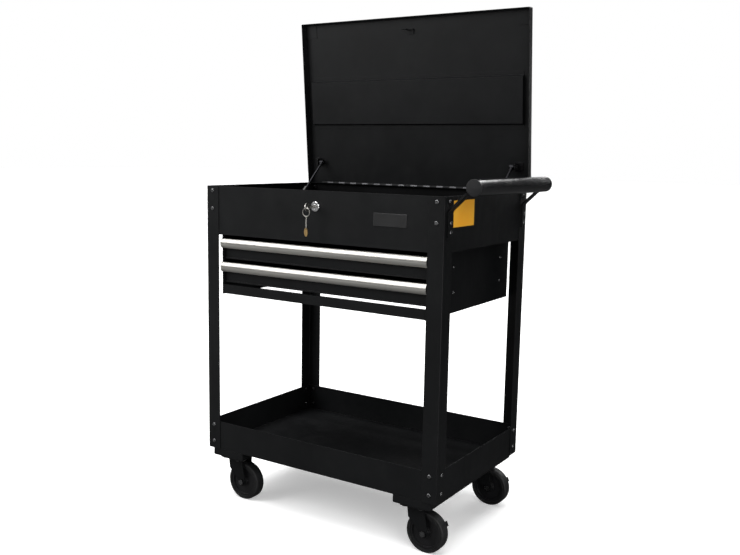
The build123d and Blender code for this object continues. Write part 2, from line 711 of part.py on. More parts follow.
def slides():
    """Fixed, middle and drawer members of the telescopic slides."""
    made = {}
    fixed = []
    for name, z in zip(("lower", "upper"), slide_levels()):
        outer = slide_member(z, SLIDE_H, 0.0, 9.5, 1.4, SLIDE_L, SLIDE_FRONT_Y)
        for y in SLIDE_SCREW_Y:
            outer -= rod((CABINET_INNER_X + 1, y, z), (CABINET_INNER_X - 2, y, z), BOLT_HOLE_R)
        middle = slide_member(z, SLIDE_H - 7.0, 3.2, 11.0, 1.2, SLIDE_L - 20, SLIDE_FRONT_Y + 5)
        inner = slide_member(z, SLIDE_H - 13.0, SLIDE_T + 0.3, 5.5, -1.2, SLIDE_L, SLIDE_FRONT_Y)
        fixed += [across(outer), outer]
        made[f"slide_middle_{name}"] = group([across(middle), middle])
        made[f"slide_inner_{name}"] = group([across(inner), inner])
    made["slide_rails"] = group(fixed)
    return made


# ---- lock and keys ------------------------------------------------------------------------------
def lock_housing():
    """Cam lock housing with its panel nut."""
    y0 = PANEL_FRONT_Y - 4
    flange = rod((0, PANEL_FRONT_Y, LOCK_Z), (0, y0, LOCK_Z), 12)
    flange = chamfer(flange.edges().filter_by(GeomType.CIRCLE).sort_by(Axis.Y)[0], 1.2)
    body = flange + rod((0, PANEL_FRONT_Y, LOCK_Z), (0, BARREL_REAR_Y, LOCK_Z), BARREL_R)
    body -= rod((0, y0 - 1, LOCK_Z), (0, BARREL_REAR_Y + 1, LOCK_Z), PLUG_R + FIT)
    nut = facing((0, INNER_FRONT_Y + 5, LOCK_Z), (0, 1, 0)) * hex_nut(26, 5, BARREL_R + FIT)
    return group([body, nut])


def lock_cam():
    """Hook cam, at rest turned a quarter turn clear of the strike."""
    hub_r, inner_r, outer_r = 9.0, 21.5, 27.0
    start, end = math.radians(88), math.radians(142)
    root = math.radians(124)

    def polar(radius, angle):
        return (radius * math.sin(angle), CAM_Y, LOCK_Z + radius * math.cos(angle))

    middle = (start + end) / 2
    hook = make_face(Wire([
        ThreePointArc(polar(outer_r, start), polar(outer_r, middle), polar(outer_r, end)),
        Line(polar(outer_r, end), polar(inner_r, end)),
        ThreePointArc(polar(inner_r, end), polar(inner_r, middle), polar(inner_r, start)),
        Line(polar(inner_r, start), polar(outer_r, start)),
    ]))
    corners = [polar(4, root - 1.2), polar(23, root), polar(23, end), polar(4, end + 1.2)]
    arm = make_face(Polyline(*corners, close=True))
    cam = extrude(hook, CAM_T, dir=(0, 1, 0)) + extrude(arm, CAM_T, dir=(0, 1, 0))
    cam += rod((0, CAM_Y, LOCK_Z), (0, CAM_Y + CAM_T, LOCK_Z), hub_r)
    return cam - rod((0, CAM_Y - 1, LOCK_Z), (0, CAM_Y + CAM_T + 1, LOCK_Z), 4 + FIT)


def lock_plug():
    """Turning plug with a keyway and a tail for the cam, and the cam on it."""
    front = PANEL_FRONT_Y - 4.6
    plug = rod((0, front, LOCK_Z), (0, BARREL_REAR_Y + 0.8, LOCK_Z), PLUG_R)
    plug += rod((0, BARREL_REAR_Y, LOCK_Z), (0, CAM_Y + CAM_T + 1, LOCK_Z), 4)
    plug -= block(-1.05, 1.05, front - 1, front + 21, LOCK_Z - 3.8, LOCK_Z + 3.8)
    return group([plug, lock_cam()])


def key():
    """Key standing in the plug, its bow upright."""
    thickness, blade_h, blade_end = 1.8, 7.2, 15.0
    bow = rod((-thickness / 2, KEY_BOW_Y, LOCK_Z), (thickness / 2, KEY_BOW_Y, LOCK_Z), KEY_BOW_R)
    half_h = blade_h / 2
    blade_start = KEY_BOW_Y + KEY_BOW_R - 2
    blade = block(-thickness / 2, thickness / 2, blade_start, blade_end, LOCK_Z - half_h, LOCK_Z + half_h)
    hole = rod((-thickness, KEY_HOLE_Y, LOCK_Z), (thickness, KEY_HOLE_Y, LOCK_Z), KEY_HOLE_R)
    return bow + blade - hole


def key_ring():
    """Split ring through the key's bow, with a wire link and an oval tag hanging from it."""
    ring_z = RING_TOP_Z - RING_R
    plane = Plane(origin=(0, KEY_HOLE_Y, ring_z), z_dir=(0, 1, 0))
    ring = plane.location * Torus(RING_R, WIRE_R)
    touch = 2 * WIRE_R + 0.1
    top_z = ring_z - RING_R + touch
    link_r = 1.8
    high, low = top_z - link_r, top_z - LINK_L + link_r
    y0, y1 = KEY_HOLE_Y - link_r, KEY_HOLE_Y + link_r
    path = Wire([
        Line((0, y0, low), (0, y0, high)),
        ThreePointArc((0, y0, high), (0, KEY_HOLE_Y, top_z), (0, y1, high)),
        Line((0, y1, high), (0, y1, low)),
        ThreePointArc((0, y1, low), (0, KEY_HOLE_Y, low - link_r), (0, y0, low)),
    ])
    section = Plane(origin=(0, y0, low), z_dir=(0, 0, 1)) * Circle(WIRE_R * 0.8)
    link = sweep(section, path=path)
    tag_w, tag_h, tag_t, hole_r = 10.0, 21.0, 1.5, 1.9
    hole_z = low - link_r + touch - 0.2 - hole_r
    tag_z = hole_z - tag_h / 2 + hole_r + 1.4
    face = Plane(origin=(0, KEY_HOLE_Y - tag_t / 2, tag_z), x_dir=(1, 0, 0), z_dir=(0, 1, 0))
    tag = extrude(face * Ellipse(tag_w / 2, tag_h / 2), tag_t)
    tag -= rod((0, KEY_HOLE_Y - tag_t, hole_z), (0, KEY_HOLE_Y + tag_t, hole_z), hole_r)
    return group([ring, link, tag])


# ---- casters ------------------------------------------------------------------------------------
CASTERS = ("front_left", "front_right", "rear_left", "rear_right")
PLATE_BOLT_X = 22.5
PLATE_BOLT_Y = 35.0
PLATE_T = 3.0
RACE_T = 2.0
CROWN_Z = CASTER_H - 7.5                  # top of the fork's crown
FORK_TOP_Z = CASTER_H - PLATE_T - RACE_T - 0.4
KING_PIN_R = 6.0
COLLAR_R = 16.6
COLLAR_H = 8.4
FORK_IN = 17.0
FORK_T = 3.0
AXLE_R = 4.0
LEVER_T = 2.0
LEVER_DEG = 25.0


def caster_positions():
    """Swivel axes in the order of CASTERS."""
    near, far = SWIVEL_INSET_Y, BODY_D - SWIVEL_INSET_Y
    return [(-SWIVEL_X, near), (SWIVEL_X, near), (-SWIVEL_X, far), (SWIVEL_X, far)]


def plate_bolt_points(cx, cy):
    """Bolt centres of one caster plate."""
    return [(cx + sx * PLATE_BOLT_X, cy + sy * PLATE_BOLT_Y) for sx in (-1, 1) for sy in (-1, 1)]


def caster_plate():
    """Top plate with its pressed race and king pin, swivel axis on the Z axis."""
    z0 = CASTER_H - PLATE_T
    plate = block(-32.5, 32.5, -45, 45, z0, CASTER_H)
    plate = fillet(plate.edges().filter_by(Axis.Z), 6)
    for x, y in plate_bolt_points(0, 0):
        plate -= rod((x, y, z0 - 1), (x, y, CASTER_H + 1), 4.25)
    race = rod((0, 0, z0 - RACE_T), (0, 0, z0), 22)
    race = fillet(race.edges().filter_by(GeomType.CIRCLE).sort_by(Axis.Z)[0], 1.0)
    collar_z = CROWN_Z - FORK_T - 0.3
    collar = rod((0, 0, collar_z - COLLAR_H), (0, 0, collar_z), COLLAR_R)
    collar = fillet(collar.edges().filter_by(GeomType.CIRCLE).sort_by(Axis.Z)[0], 1.5)
    king_pin = rod((0, 0, collar_z - COLLAR_H), (0, 0, z0), KING_PIN_R)
    return plate + race + collar + king_pin


def caster_fork():
    """Pressed fork: crown, raised race and two legs tapering to the axle."""
    reach = FORK_IN + FORK_T
    front_x, back_x, boss_r = -25.0, 24.0, 11.0
    shell = block(front_x - 5, TRAIL + 30, -reach, reach, 30, CROWN_Z)
    shell = fillet(shell.edges().filter_by(Axis.X).group_by(Axis.Z)[-1], 4)
    shell -= block(front_x - 6, TRAIL + 31, -FORK_IN, FORK_IN, 29, CROWN_Z - FORK_T)
    side = [
        (front_x, CROWN_Z + 1),
        (back_x, CROWN_Z + 1),
        (back_x - 2, CROWN_Z - 12),
        (TRAIL + boss_r, WHEEL_R),
        (TRAIL - boss_r, WHEEL_R),
        (front_x + 4, CROWN_Z - 30),
    ]
    outline = prism_xz(side, -reach - 1, reach + 1)
    boss = rod((TRAIL, -reach - 1, WHEEL_R), (TRAIL, reach + 1, WHEEL_R), boss_r)
    fork = shell & (outline + boss)
    fork += rod((0, 0, CROWN_Z - FORK_T), (0, 0, FORK_TOP_Z), 23)
    fork -= rod((0, 0, CROWN_Z - 5), (0, 0, CASTER_H), KING_PIN_R + FIT)
    return fork - rod((TRAIL, -reach - 1, WHEEL_R), (TRAIL, reach + 1, WHEEL_R), AXLE_R + 0.02)


def caster_axle(braked):
    """Axle bolt and nut."""
    reach = FORK_IN + FORK_T
    nut_y = reach + (LEVER_T + 0.6 if braked else 0.0)
    shank = rod((TRAIL, -reach - 5, WHEEL_R), (TRAIL, nut_y + 8, WHEEL_R), AXLE_R)
    head = extrude(RegularPolygon(6.5, 6, major_radius=False), 5.3)
    bolt = shank + facing((TRAIL, -reach, WHEEL_R), (0, -1, 0)) * head
    nut = facing((TRAIL, nut_y + 6.5, WHEEL_R), (0, 1, 0)) * hex_nut(13, 6.5, AXLE_R + FIT)
    return group([bolt, nut])


def caster_wheel():
    """Wheel core and its tyre."""
    core_r, half = 41.0, WHEEL_W / 2
    centre = Plane(origin=(TRAIL, 0, WHEEL_R), z_dir=(0, 1, 0)).location
    core = Cylinder(core_r, WHEEL_W - 4)
    for sign in (-1, 1):
        recess = Cylinder(35, 7) - Cylinder(14, 8)
        core -= Pos(0, 0, sign * (half - 2)) * recess
    core += Cylinder(12, 2 * FORK_IN - 0.8)
    core -= Cylinder(AXLE_R + FIT, WHEEL_W + 20)
    tyre = Cylinder(WHEEL_R, WHEEL_W) - Cylinder(core_r, WHEEL_W + 2)
    rims = [e for e in tyre.edges().filter_by(GeomType.CIRCLE) if e.radius > WHEEL_R - 1]
    tyre = fillet(rims, 4)
    for sign in (-1, 1):
        groove = Cylinder(core_r + 3.0, 2) - Cylinder(core_r + 1.6, 3)
        tyre -= Pos(0, 0, sign * half) * groove
    return centre * core, centre * tyre


def brake_lever():
    """Side brake lever on the axle behind the fork, ending in a foot tab beside the tyre."""
    y0 = FORK_IN + FORK_T + 0.3
    y1 = y0 + LEVER_T
    reach, half_h, tab_w = WHEEL_R - 8, 6.0, 9.0
    arm = block(0, reach, y0, y1, -half_h, half_h)
    arm += block(reach - 2, reach, y0, y1 + tab_w, -half_h, half_h)
    arm += rod((0, y0, 0), (0, y1, 0), 10)
    arm -= rod((0, y0 - 1, 0), (0, y1 + 1, 0), AXLE_R + FIT)
    return Pos(TRAIL, 0, WHEEL_R) * arm.rotate(Axis.Y, -LEVER_DEG)


def caster_fasteners():
    """Bolts and nuts of the caster plates."""
    bolt = button_bolt(PLATE_T + 2 + 7.5, 4.0, 7.0, 4.0, 5.0)
    nut = Pos(0, 0, -PLATE_T - 2) * hex_nut(13, 6.5, 4 + FIT)
    solids = []
    for cx, cy in caster_positions():
        for point in plate_bolt_points(cx, cy):
            seat = facing((*point, CASTER_H - PLATE_T), (0, 0, -1))
            solids += [seat * bolt, seat * nut]
    return solids


def casters():
    """Every caster part by name."""
    made = {"caster_plates": group([Pos(x, y, 0) * caster_plate() for x, y in caster_positions()])}
    core, tyre = caster_wheel()
    for name, (x, y) in zip(CASTERS, caster_positions()):
        braked = x > 0
        place = Pos(x, y, 0)
        made[f"fork_{name}"] = place * caster_fork()
        made[f"axle_{name}"] = place * caster_axle(braked)
        made[f"wheel_{name}"] = place * core
        made[f"tyre_{name}"] = place * tyre
        if braked:
            made[f"brake_{name}"] = place * brake_lever()
    return made


# ---- the whole chest ----------------------------------------------------------------------------
def chest():
    """Every node of the tool chest by name."""
    holes = bolt_holes()
    half_hinge = KNUCKLES * KNUCKLE_L / 2
    nodes = {}
    nodes.update(legs(holes))
    nodes.update(top_box(holes))
    nodes.update(cabinet())
    nodes["lower_tray"] = lower_tray(holes)
    nodes["caster_channels"] = caster_channels()
    nodes["fasteners"] = group(frame_bolts() + caster_fasteners())
    nodes.update(handle())
    nodes["badge_plate"] = badge_plate()
    nodes["side_label"] = side_label()
    hinge_pin = rod((-half_hinge, HINGE_Y, HINGE_Z), (half_hinge, HINGE_Y, HINGE_Z), PIN_R)
    nodes["hinge_leaf_box"] = group([hinge_leaf(on_lid=False), hinge_pin])
    nodes["strut_mounts"] = strut_mounts()
    for name, part in (
        ("lid_pan", lid_pan()),
        ("lid_stiffener", lid_stiffener()),
        ("lid_strike", lid_strike()),
        ("hinge_leaf_lid", hinge_leaf(on_lid=True)),
        ("lid_strut_brackets", lid_brackets()),
    ):
        nodes[name] = lid_open(part)
    nodes["strut_cylinder_right"] = strut_cylinder()
    nodes["strut_cylinder_left"] = across(strut_cylinder())
    nodes["strut_rod_right"] = strut_rod()
    nodes["strut_rod_left"] = across(strut_rod())
    for level, name in enumerate(("lower", "upper")):
        nodes[f"drawer_{name}"] = drawer(level)
        nodes[f"pull_{name}"] = pull(level)
    nodes.update(slides())
    nodes["lock_housing"] = lock_housing()
    nodes["lock_plug"] = lock_plug()
    nodes["key"] = key()
    nodes["key_ring"] = key_ring()
    nodes.update(casters())
    return nodes


if __name__ == "__main__":
    os.makedirs("parts", exist_ok=True)
    for node_name, node_part in chest().items():
        save(node_name, node_part)
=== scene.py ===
import bpy
import json
import math
from mathutils import Matrix, Vector


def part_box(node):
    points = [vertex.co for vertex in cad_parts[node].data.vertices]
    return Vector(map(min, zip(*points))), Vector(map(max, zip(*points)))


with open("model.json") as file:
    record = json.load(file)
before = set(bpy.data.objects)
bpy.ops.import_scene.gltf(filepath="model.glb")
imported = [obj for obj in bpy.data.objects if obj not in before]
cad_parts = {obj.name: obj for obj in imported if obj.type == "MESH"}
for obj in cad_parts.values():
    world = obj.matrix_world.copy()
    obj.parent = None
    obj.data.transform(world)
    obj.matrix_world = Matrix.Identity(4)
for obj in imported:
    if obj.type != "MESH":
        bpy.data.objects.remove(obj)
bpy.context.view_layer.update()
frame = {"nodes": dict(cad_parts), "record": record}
nodes = frame["nodes"]


# ---- camera: place from the middle of the front legs' front face, angles in degrees -------------
CAMERA_RIGHT = 1.2445
CAMERA_FORWARD = -1.6818
CAMERA_HEIGHT = 0.9376
CAMERA_YAW = 32.824
CAMERA_PITCH = -8.175
CAMERA_ROLL = 1.035
CAMERA_LENS = 42.457            # millimetres, on a 36 mm sensor

# ---- where a node changes its material ----------------------------------------------------------
TAG_H = 0.0212                  # brass tag, from the bottom of the key ring
KNUCKLE_D = 0.0071              # knuckles in a bright bare-steel coat as a painted highlight, from the top of the hinge
PLATE_T = 0.0052                # coated top plates, from the top of the caster plates
HALF_SHEET = 0.0006             # half the top box's sheet, between its outer and inner faces

# ---- light --------------------------------------------------------------------------------------
BODY_MIDDLE = (0.0, 0.0, 0.7)
TRAY_LEVEL = (0.0, 0.0, 0.2)
REAR_MIDDLE = (0.0, 0.0, 0.6)
SUN_ALONG = (0.10, 0.06, -1.0)
SUN_STRENGTH = 3.4
SUN_SPREAD = 50.0               # degrees
SURROUNDINGS = 0.18             # strength of the light from the surroundings
WHITE = (1.0, 1.0, 1.0, 1.0)


# ---- camera at the viewing angle ----------------------------------------------------------------
def make_camera():
    """Camera off the front right corner, a little above the handle, placed from the front legs."""
    low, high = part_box("legs_front")
    place = Vector(((low.x + high.x) / 2 + CAMERA_RIGHT, low.y + CAMERA_FORWARD, CAMERA_HEIGHT))
    yaw, pitch, roll = (math.radians(angle) for angle in (CAMERA_YAW, CAMERA_PITCH, CAMERA_ROLL))
    forward = Vector((-math.sin(yaw) * math.cos(pitch), math.cos(yaw) * math.cos(pitch), math.sin(pitch)))
    right = Vector((math.cos(yaw), math.sin(yaw), 0.0))
    up = right.cross(forward)
    rolled_right = right * math.cos(roll) + up * math.sin(roll)
    rolled_up = up * math.cos(roll) - right * math.sin(roll)
    data = bpy.data.cameras.new("camera")
    data.lens = CAMERA_LENS
    data.sensor_width = 36.0
    data.clip_end = 50.0
    camera = bpy.data.objects.new("camera", data)
    bpy.context.scene.collection.objects.link(camera)
    turn = Matrix((rolled_right, rolled_up, -forward)).transposed().to_4x4()
    camera.matrix_world = Matrix.Translation(place) @ turn
    bpy.context.scene.camera = camera


# ---- shader nodes -------------------------------------------------------------------------------
class Graph:
    """A tree of shader nodes being put together."""

    def __init__(self, tree, coordinates):
        self.tree = tree
        self.place = self.add("ShaderNodeTexCoord").outputs[coordinates]

    def add(self, kind, **fields):
        """New node with its properties set."""
        node = self.tree.nodes.new(kind)
        for field, value in fields.items():
            setattr(node, field, value)
        return node

    def join(self, output, socket):
        """Link from an output to an input socket."""
        self.tree.links.new(output, socket)

    def put(self, node, **values):
        """Constants on input sockets; underscores stand for spaces."""
        for key, value in values.items():
            node.inputs[key.replace("_", " ")].default_value = value
        return node

    def stretched(self, scale):
        """Object coordinates stretched by scale along each axis."""
        node = self.add("ShaderNodeMapping")
        self.join(self.place, node.inputs["Vector"])
        node.inputs["Scale"].default_value = scale
        return node.outputs["Vector"]

    def noise(self, scale, detail=4.0, rough=0.55, stretch=None, distort=0.0):
        """Noise factor in object space, scale in cycles per metre."""
        node = self.add("ShaderNodeTexNoise")
        self.join(self.stretched(stretch) if stretch else self.place, node.inputs["Vector"])
        self.put(node, Scale=scale, Detail=detail, Roughness=rough, Distortion=distort)
        return node.outputs["Fac"]

    def cells(self, scale):
        """Distance inside scattered cells."""
        node = self.add("ShaderNodeTexVoronoi")
        self.join(self.place, node.inputs["Vector"])
        self.put(node, Scale=scale)
        return node.outputs["Distance"]

    def spread(self, value, low, high, to_low=0.0, to_high=1.0):
        """Maps a range of a value to another, clamped."""
        node = self.add("ShaderNodeMapRange")
        self.join(value, node.inputs["Value"])
        self.put(node, From_Min=low, From_Max=high, To_Min=to_low, To_Max=to_high)
        return node.outputs["Result"]

    def calc(self, operation, a, b):
        """Math on two values, sockets or numbers."""
        node = self.add("ShaderNodeMath", operation=operation)
        for index, value in enumerate((a, b)):
            if isinstance(value, (int, float)):
                node.inputs[index].default_value = value
            else:
                self.join(value, node.inputs[index])
        return node.outputs[0]

    def mix(self, share, a, b):
        """Colour mixed from a to b by a share; a and b are colours or sockets."""
        node = self.add("ShaderNodeMix", data_type="RGBA")
        self.join(share, node.inputs[0])
        for index, value in ((6, a), (7, b)):
            if isinstance(value, tuple):
                node.inputs[index].default_value = (*value, 1.0)
            else:
                self.join(value, node.inputs[index])
        return node.outputs[2]

    def along(self, direction):
        """How far a point's coordinates lie along a direction."""
        node = self.add("ShaderNodeVectorMath", operation="DOT_PRODUCT")
        self.join(self.place, node.inputs[0])
        node.inputs[1].default_value = direction
        return node.outputs["Value"]

    def seen(self):
        """1 for rays from the camera, else 0."""
        return self.add("ShaderNodeLightPath").outputs["Is Camera Ray"]


class Mat(Graph):
    """A material being put together on a Principled shader."""

    def __init__(self, name):
        self.material = bpy.data.materials.new(name)
        self.material.use_nodes = True
        super().__init__(self.material.node_tree, "Object")
        self.shader = self.tree.nodes["Principled BSDF"]

    def edges(self, radius):
        """Share that is high along edges, from the difference between rounded and true normals."""
        soft = self.add("ShaderNodeBevel", samples=4)
        self.put(soft, Radius=radius)
        true = self.add("ShaderNodeNewGeometry")
        dot = self.add("ShaderNodeVectorMath", operation="DOT_PRODUCT")
        self.join(soft.outputs["Normal"], dot.inputs[0])
        self.join(true.outputs["Normal"], dot.inputs[1])
        return self.spread(dot.outputs["Value"], 0.97, 0.75)

    def bump(self, layers, edge_radius=0.0006):
        """Bump from (height, strength, distance) layers over softly rounded edges."""
        soft = self.add("ShaderNodeBevel", samples=4)
        self.put(soft, Radius=edge_radius)
        normal = soft.outputs["Normal"]
        for height, strength, distance in layers:
            node = self.add("ShaderNodeBump")
            self.put(node, Strength=strength, Distance=distance)
            self.join(height, node.inputs["Height"])
            self.join(normal, node.inputs["Normal"])
            normal = node.outputs["Normal"]
        self.join(normal, self.shader.inputs["Normal"])

    def set(self, **values):
        """Constants on the shader's sockets."""
        self.put(self.shader, **values)
        return self


def powder_coat(name, tone=(0.0045, 0.0048, 0.0052), rough=0.42, grain=1.0, gloss=0.16):
    """Satin black powder coat: orange peel, fine grain, dust, handling marks and rubbed edges."""
    m = Mat(name)
    broad = m.noise(5.0, 4.0, 0.6)
    cloud = m.noise(38.0, 5.0, 0.6)
    peel = m.noise(520.0, 2.0, 0.5)
    fine = m.noise(2600.0, 2.0, 0.6)
    smear = m.noise(14.0, 6.0, 0.65, stretch=(1.0, 1.0, 0.25), distort=0.6)
    light = tuple(v * 1.6 + 0.0008 for v in tone)
    base = m.mix(m.spread(broad, 0.35, 0.7), tone, light)
    dust = m.calc("MULTIPLY", m.spread(cloud, 0.52, 0.78), m.spread(smear, 0.45, 0.7, 0.0, 0.5))
    base = m.mix(dust, base, (0.013, 0.013, 0.0125))
    worn = m.calc("MULTIPLY", m.edges(0.0014), m.spread(m.noise(90.0, 4.0, 0.7), 0.42, 0.66, 0.0, 0.35))
    base = m.mix(worn, base, (0.04, 0.04, 0.041))
    m.join(base, m.shader.inputs["Base Color"])
    marks = m.calc("ADD", m.spread(smear, 0.35, 0.7, -0.05, 0.07), m.spread(cloud, 0.3, 0.7, -0.03, 0.04))
    speckle = m.spread(fine, 0.3, 0.7, -0.03, 0.03)
    m.join(m.calc("ADD", m.calc("ADD", marks, speckle), rough), m.shader.inputs["Roughness"])
    m.bump([(peel, 0.10 * grain, 0.0004), (fine, 0.06 * grain, 0.0001)], 0.0007)
    return m.set(Specular_IOR_Level=gloss).material


def brushed_metal(name, tone, along, rough):
    """Metal brushed along one axis: hair lines, patches and darker handled spots."""
    m = Mat(name)
    stretch = [900.0, 900.0, 900.0]
    stretch[along] = 6.0
    hair = m.noise(1.0, 3.0, 0.7, stretch=tuple(stretch))
    stretch[along] = 1.5
    coarse = m.noise(0.35, 3.0, 0.6, stretch=tuple(stretch))
    patch = m.noise(22.0, 5.0, 0.6)
    dark = tuple(v * 0.80 for v in tone)
    base = m.mix(m.spread(hair, 0.3, 0.7), dark, tone)
    base = m.mix(m.spread(patch, 0.5, 0.85, 0.0, 0.35), base, tuple(v * 0.55 for v in tone))
    base = m.mix(m.edges(0.0008), base, tuple(min(1.0, v * 1.12) for v in tone))
    m.join(base, m.shader.inputs["Base Color"])
    change = m.calc("ADD", m.spread(hair, 0.25, 0.75, -0.06, 0.08), m.spread(patch, 0.3, 0.7, -0.04, 0.06))
    m.join(m.calc("ADD", change, rough), m.shader.inputs["Roughness"])
    m.bump([(hair, 0.16, 0.00012), (coarse, 0.08, 0.0002)], 0.0004)
    return m.set(Metallic=1.0, Anisotropic=0.45).material


def plated(name, tone, rough, spots=0.3):
    """Plated steel: faint mottling, pin holes and brighter edges."""
    m = Mat(name)
    mottled = m.noise(160.0, 5.0, 0.65)
    spot = m.spread(m.cells(420.0), 0.0, 0.12, 1.0, 0.0)
    speck = m.calc("MULTIPLY", spot, m.spread(m.noise(60.0), 0.5, 0.65, 0.0, spots))
    base = m.mix(m.spread(mottled, 0.3, 0.72), tuple(v * 0.74 for v in tone), tone)
    base = m.mix(speck, base, (0.10, 0.08, 0.06))
    base = m.mix(m.edges(0.0006), base, tuple(min(1.0, v * 1.2) for v in tone))
    m.join(base, m.shader.inputs["Base Color"])
    m.join(m.spread(mottled, 0.25, 0.75, rough - 0.06, rough + 0.12), m.shader.inputs["Roughness"])
    m.bump([(mottled, 0.10, 0.0002), (m.noise(1800.0, 2.0), 0.05, 0.00006)], 0.0005)
    return m.set(Metallic=1.0).material


def rubber(name, tone, rough, scuff):
    """Rubber: fine grain, paler scuffs and dust."""
    m = Mat(name)
    patch = m.noise(48.0, 6.0, 0.65)
    fine = m.noise(900.0, 3.0, 0.6)
    base = m.mix(m.spread(patch, 0.35, 0.75), tone, tuple(v * 1.8 for v in tone))
    base = m.mix(m.spread(m.noise(26.0, 7.0, 0.75), 0.56, 0.74, 0.0, 0.5), base, scuff)
    base = m.mix(m.calc("MULTIPLY", m.edges(0.002), m.spread(patch, 0.4, 0.6, 0.0, 0.5)), base, scuff)
    m.join(base, m.shader.inputs["Base Color"])
    m.join(m.spread(patch, 0.25, 0.75, rough - 0.08, rough + 0.1), m.shader.inputs["Roughness"])
    m.bump([(fine, 0.4, 0.0003), (patch, 0.12, 0.0006)], 0.0008)
    return m.set(Specular_IOR_Level=0.35).material


def moulded(name, tone, rough):
    """Moulded plastic: fine spark-eroded grain, flow marks and dust."""
    m = Mat(name)
    grain = m.cells(1500.0)
    flow = m.noise(30.0, 4.0, 0.6, distort=1.2)
    base = m.mix(m.spread(flow, 0.35, 0.7), tone, tuple(v * 1.6 for v in tone))
    base = m.mix(m.spread(m.noise(75.0, 6.0, 0.7), 0.58, 0.76, 0.0, 0.35), base, (0.05, 0.048, 0.045))
    m.join(base, m.shader.inputs["Base Color"])
    m.join(m.spread(flow, 0.3, 0.7, rough - 0.07, rough + 0.07), m.shader.inputs["Roughness"])
    m.bump([(grain, 0.12, 0.00012)], 0.0008)
    return m.set(Specular_IOR_Level=0.4).material


def film(name, tone, faded):
    """Printed film: slight fading, creases and lifted, soiled edges."""
    m = Mat(name)
    fade = m.noise(24.0, 4.0, 0.6)
    crease = m.noise(60.0, 5.0, 0.7, stretch=(1.0, 0.25, 1.0))
    base = m.mix(m.spread(fade, 0.3, 0.75), tone, faded)
    base = m.mix(m.calc("MULTIPLY", m.edges(0.0015), 0.6), base, tuple(v * 0.5 for v in tone))
    m.join(base, m.shader.inputs["Base Color"])
    m.join(m.spread(fade, 0.3, 0.7, 0.30, 0.42), m.shader.inputs["Roughness"])
    m.bump([(crease, 0.10, 0.0003), (m.noise(700.0, 2.0), 0.04, 0.0001)], 0.0003)
    return m.set(Coat_Weight=0.2, Coat_Roughness=0.25).material


def make_materials():
    """One material for each slot of the record, and those of the key tag, of the hinge's knuckles (their
    painted highlight) and of the top box's inside (its painted shade).
    """
    return {
        "black_powder_coat": powder_coat("black_powder_coat"),
        "brushed_aluminium": brushed_metal("brushed_aluminium", (0.60, 0.585, 0.55), 0, 0.34),
        "black_oxide": plated("black_oxide", (0.20, 0.20, 0.205), 0.24, 0.2),
        "handle_coat": powder_coat("handle_coat", (0.010, 0.0102, 0.011), 0.18, 0.4, 0.5),
        "badge": film("badge", (0.006, 0.006, 0.0065), (0.009, 0.009, 0.0095)),
        "label": film("label", (1.0, 0.44, 0.024), (1.0, 0.53, 0.045)),
        "zinc": plated("zinc", (0.62, 0.62, 0.61), 0.28),
        "chrome": plated("chrome", (0.80, 0.80, 0.81), 0.16, 0.15),
        "strut_black": powder_coat("strut_black", (0.004, 0.004, 0.0045), 0.26, 0.3, 0.3),
        "strut_rod": plated("strut_rod", (0.03, 0.03, 0.033), 0.34, 0.1),
        "key_steel": plated("key_steel", (0.60, 0.58, 0.54), 0.26),
        # painted shade: a darker, duller coat for the top box's inside faces
        "painted_shade_coat": powder_coat("painted_shade_coat", (0.003, 0.0031, 0.0034), 0.62, 1.2, 0.05),
        # painted highlight: a bright bare-steel coat that makes the hinge's knuckles show as lit dashes
        "knuckle_highlight_steel": plated("knuckle_highlight_steel", (0.10, 0.10, 0.105), 0.36),
        "brass": plated("brass", (0.70, 0.47, 0.20), 0.30, 0.5),
        "hub_plastic": moulded("hub_plastic", (0.006, 0.006, 0.0068), 0.42),
        "tyre": rubber("tyre", (0.010, 0.0102, 0.0108), 0.55, (0.035, 0.034, 0.032)),
    }


def smooth_between(obj, angle):
    """Welds the faces' shared edges and shades smoothly across those flatter than an angle."""
    normals = obj.data.attributes.get("custom_normal")
    if normals:
        obj.data.attributes.remove(normals)
    obj.data.shade_smooth()
    weld = obj.modifiers.new("weld", "WELD")
    weld.merge_threshold = 1e-6
    split = obj.modifiers.new("split", "EDGE_SPLIT")
    split.split_angle = angle
    split.use_edge_sharp = False


def dress_nodes(materials):
    """Gives every CAD node its slot's material and smooth shading between small angles."""
    slots = {part["node"]: part["material_slot"] for part in frame["record"]["subparts"]}
    for name, obj in nodes.items():
        obj.data.materials.clear()
        obj.data.materials.append(materials[slots[name]])
        smooth_between(obj, math.radians(30.0))


def second_material(name, material, chosen):
    """A second material on the faces of a node that a test on their centres picks out."""
    mesh = nodes[name].data
    mesh.materials.append(material)
    for face in mesh.polygons:
        if chosen(face.center):
            face.material_index = 1


def dress_details(materials):
    """Brass key tag, hinge knuckles in a bright bare-steel coat as a painted highlight, coated caster
    plates and a darker, duller coat on the top box's inside as painted shade.
    """
    tag_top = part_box("key_ring")[0].z + TAG_H
    second_material("key_ring", materials["brass"], lambda centre: centre.z < tag_top)
    # painted highlight: the box leaf's knuckles get the bright bare-steel coat
    knuckle_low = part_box("hinge_leaf_box")[1].z - KNUCKLE_D
    second_material("hinge_leaf_box", materials["knuckle_highlight_steel"], lambda centre: centre.z > knuckle_low)
    plate_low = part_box("caster_plates")[1].z - PLATE_T
    second_material("caster_plates", materials["black_powder_coat"], lambda centre: centre.z > plate_low)
    # painted shade: the top box's inside faces get the darker, duller coat
    painted_shade = materials["painted_shade_coat"]
    inner_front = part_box("top_box_front")[0].y + HALF_SHEET
    second_material("top_box_front", painted_shade, lambda centre: centre.y > inner_front)
    inner_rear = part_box("top_box_rear")[1].y - HALF_SHEET
    second_material("top_box_rear", painted_shade, lambda centre: centre.y < inner_rear)
    low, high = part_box("top_box_sides")
    middle = (low.x + high.x) / 2
    reach = high.x - HALF_SHEET - middle
    second_material("top_box_sides", painted_shade, lambda centre: abs(centre.x - middle) < reach)


